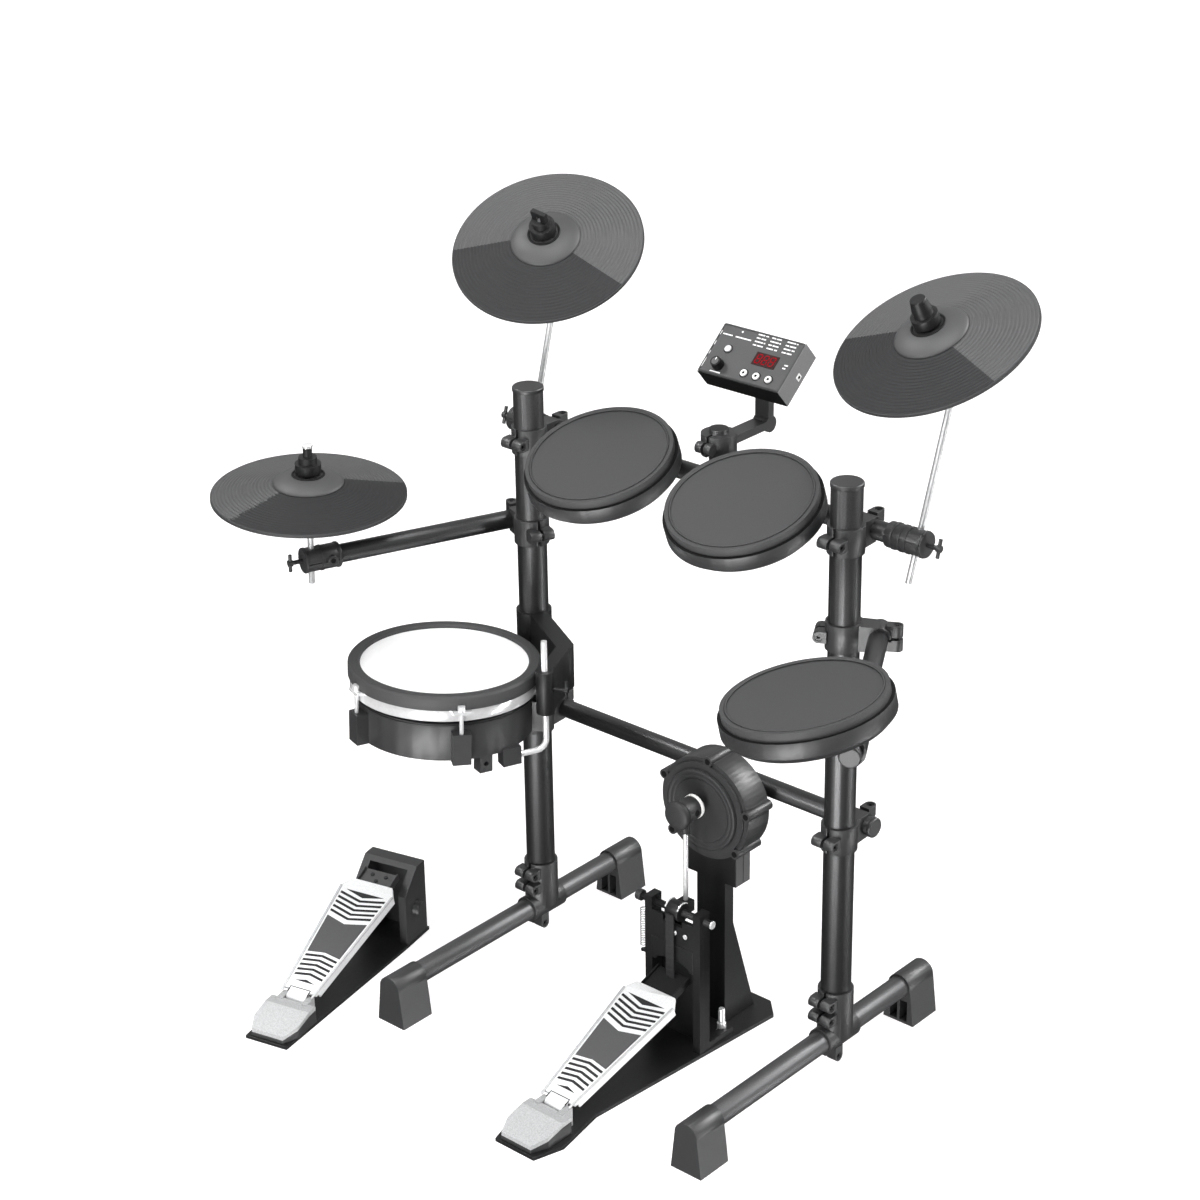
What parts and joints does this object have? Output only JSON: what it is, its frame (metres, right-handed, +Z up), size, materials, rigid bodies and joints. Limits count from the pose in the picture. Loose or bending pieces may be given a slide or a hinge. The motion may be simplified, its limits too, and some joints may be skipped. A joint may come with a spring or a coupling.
{
  "type": "electronic drum kit",
  "caption": "Compact electronic drum kit on a tube rack, with rubber tom and cymbal pads, a mesh snare pad, a sound module, a kick tower with pedal and a hi-hat pedal.",
  "frame": {"origin": "on the floor under the middle of the kit's outer box", "axes": "+Z up, drummer on the -Y side, ride side +X"},
  "size_m": [1.0485, 0.6524, 1.0715],
  "materials": {
    "black_tube": "satin black powder coat",
    "black_moulding": "fine matte moulding",
    "black_steel": "black steel",
    "chrome": "bright chrome",
    "cymbal_rubber": "ridged dark rubber",
    "pad_rubber": "smooth dark grey rubber",
    "mesh_white": "white woven mesh",
    "module_grey": "dark grey case",
    "white_key": "white key",
    "cast_silver": "silver casting",
    "strap_black": "black strap",
    "spring_steel": "spring steel"
  },
  "bodies": {
    "rack": {"posts": "black_tube", "base_tubes": "black_tube", "feet": "black_moulding", "rack_clamps": "black_moulding", "rack_bolts": "black_steel", "crossbars": "black_tube", "tube_caps": "black_moulding", "snare_holder": "black_steel", "module_bracket": "black_moulding", "kick_base_plate": "black_tube", "kick_tower": "black_tube", "kick_housing": "black_moulding", "kick_pad": "pad_rubber", "pedal_frame": "black_tube", "kick_spring": "spring_steel", "heel_plates": "cast_silver", "hh_pedal_base": "black_tube", "hh_pedal_hood": "black_moulding"},
    "hi_hat_stand": {"hi_hat_fittings": "black_moulding", "hi_hat_arm": "black_tube", "hi_hat_rod": "chrome", "hi_hat_clutch": "black_moulding"},
    "hi_hat_pad": {"hi_hat_cymbal": "cymbal_rubber"},
    "crash_stand": {"crash_rod_clamp": "black_moulding", "crash_rod": "chrome", "crash_wing_nut": "black_moulding"},
    "crash_pad": {"crash_cymbal": "cymbal_rubber"},
    "ride_stand": {"ride_rod_clamp": "black_moulding", "ride_rod": "chrome", "ride_cap_nut": "black_moulding"},
    "ride_pad": {"ride_cymbal": "cymbal_rubber"},
    "tom_1": {"tom_1_mount": "black_moulding", "tom_1_shell": "black_moulding", "tom_1_rubber": "pad_rubber"},
    "tom_2": {"tom_2_mount": "black_moulding", "tom_2_shell": "black_moulding", "tom_2_rubber": "pad_rubber"},
    "floor_stand": {"floor_arm_fittings": "black_moulding", "floor_arm": "black_tube"},
    "floor_tom": {"floor_tom_mount": "black_moulding", "floor_tom_shell": "black_moulding", "floor_tom_rubber": "pad_rubber"},
    "snare": {"snare_l_rod": "chrome", "snare_shell": "black_moulding", "snare_hoop": "chrome", "snare_hoop_cover": "pad_rubber", "snare_mesh": "mesh_white", "snare_tension_rods": "chrome"},
    "module": {"module_case": "module_grey"},
    "knob": {"volume_knob": "black_moulding"},
    "power_key": {"power_button": "white_key"},
    "key_1": {"button_1": "white_key"},
    "key_2": {"button_2": "white_key"},
    "key_3": {"button_3": "white_key"},
    "kick_board": {"kick_footboard": "cast_silver", "pedal_strap": "strap_black"},
    "beater": {"beater_axle": "black_steel", "beater_shaft": "chrome", "beater_head": "black_moulding"},
    "hh_board": {"hh_footboard": "cast_silver"}
  },
  "joints": [
    {"name": "hi_hat_arm_swivel", "type": "hinge", "parent": "rack", "child": "hi_hat_stand", "pos_m": [-0.2482, 0.12925, 0.631], "axis": [0, 0, 1], "range_deg": [-20, 20]},
    {"name": "floor_arm_swivel", "type": "hinge", "parent": "rack", "child": "floor_stand", "pos_m": [0.2718, 0.12925, 0.632], "axis": [0, 0, 1], "range_deg": [-20, 20]},
    {"name": "hi_hat_rock", "type": "hinge", "parent": "hi_hat_stand", "child": "hi_hat_pad", "pos_m": [-0.39603, -0.13076, 0.75035], "axis": [0.9988, 0.0005, -0.0497], "range_deg": [-5, 5], "stiffness_Nm_per_rad": 4},
    {"name": "crash_rock", "type": "hinge", "parent": "crash_stand", "child": "crash_pad", "pos_m": [-0.25869, 0.17903, 1.02545], "axis": [0.9756, 0.1077, -0.1911], "range_deg": [-5, 5], "stiffness_Nm_per_rad": 4},
    {"name": "ride_rock", "type": "hinge", "parent": "ride_stand", "child": "ride_pad", "pos_m": [0.34446, 0.18258, 1.02951], "axis": [0.9927, -0.0527, 0.1087], "range_deg": [-5, 5], "stiffness_Nm_per_rad": 4},
    {"name": "crash_tilt", "type": "hinge", "parent": "rack", "child": "crash_stand", "pos_m": [-0.2792, 0.17225, 0.76], "axis": [1, 0, 0], "range_deg": [-12, 12]},
    {"name": "ride_tilt", "type": "hinge", "parent": "rack", "child": "ride_stand", "pos_m": [0.3468, 0.17225, 0.76], "axis": [1, 0, 0], "range_deg": [-12, 12]},
    {"name": "tom_1_tilt", "type": "hinge", "parent": "rack", "child": "tom_1", "pos_m": [-0.0902, 0.17225, 0.76], "axis": [1, 0, 0], "range_deg": [-12, 12]},
    {"name": "tom_2_tilt", "type": "hinge", "parent": "rack", "child": "tom_2", "pos_m": [0.1418, 0.17225, 0.76], "axis": [1, 0, 0], "range_deg": [-12, 12]},
    {"name": "floor_tom_tilt", "type": "hinge", "parent": "floor_stand", "child": "floor_tom", "pos_m": [0.45857, -0.10311, 0.632], "axis": [0.5075, -0.8616, 0], "range_deg": [-12, 12]},
    {"name": "snare_swing", "type": "hinge", "parent": "rack", "child": "snare", "pos_m": [-0.1062, -0.00475, 0.402], "axis": [0, 0, 1], "range_deg": [0, 25]},
    {"name": "module_tilt", "type": "hinge", "parent": "rack", "child": "module", "pos_m": [0.0388, 0.26425, 0.875], "axis": [1, 0, 0], "range_deg": [-20, 20]},
    {"name": "volume_turn", "type": "hinge", "parent": "module", "child": "knob", "pos_m": [0.0011, 0.21731, 0.89404], "axis": [0, -0.6508, 0.7593], "range_deg": [-135, 135]},
    {"name": "power_press", "type": "slide", "parent": "module", "child": "power_key", "axis": [0, -0.6508, 0.7593], "range_m": [-0.0012, 0], "stiffness_N_per_m": 400, "springref_m": 0.0005},
    {"name": "key_1_press", "type": "slide", "parent": "module", "child": "key_1", "axis": [0, -0.6508, 0.7593], "range_m": [-0.0012, 0], "stiffness_N_per_m": 400, "springref_m": 0.0005},
    {"name": "key_2_press", "type": "slide", "parent": "module", "child": "key_2", "axis": [0, -0.6508, 0.7593], "range_m": [-0.0012, 0], "stiffness_N_per_m": 400, "springref_m": 0.0005},
    {"name": "key_3_press", "type": "slide", "parent": "module", "child": "key_3", "axis": [0, -0.6508, 0.7593], "range_m": [-0.0012, 0], "stiffness_N_per_m": 400, "springref_m": 0.0005},
    {"name": "kick_pedal", "type": "hinge", "parent": "rack", "child": "kick_board", "pos_m": [0.0768, -0.19975, 0.0275], "axis": [1, 0, 0], "range_deg": [-1, 8], "stiffness_Nm_per_rad": 6, "springref_deg": 2.86, "deforming": ["kick_spring", "pedal_strap"]},
    {"name": "beater_swing", "type": "hinge", "parent": "rack", "child": "beater", "pos_m": [0.0768, 0.04125, 0.205], "axis": [1, 0, 0], "range_deg": [-4, 32]},
    {"name": "hh_pedal", "type": "hinge", "parent": "rack", "child": "hh_board", "pos_m": [-0.3612, -0.24075, 0.0275], "axis": [0.9724, 0.2334, 0], "range_deg": [-7, 0], "stiffness_Nm_per_rad": 5, "springref_deg": 8.59}
  ],
  "couplings": [
    {"joint": "beater_swing", "follows": "kick_pedal", "ratio": 4}
  ]
}
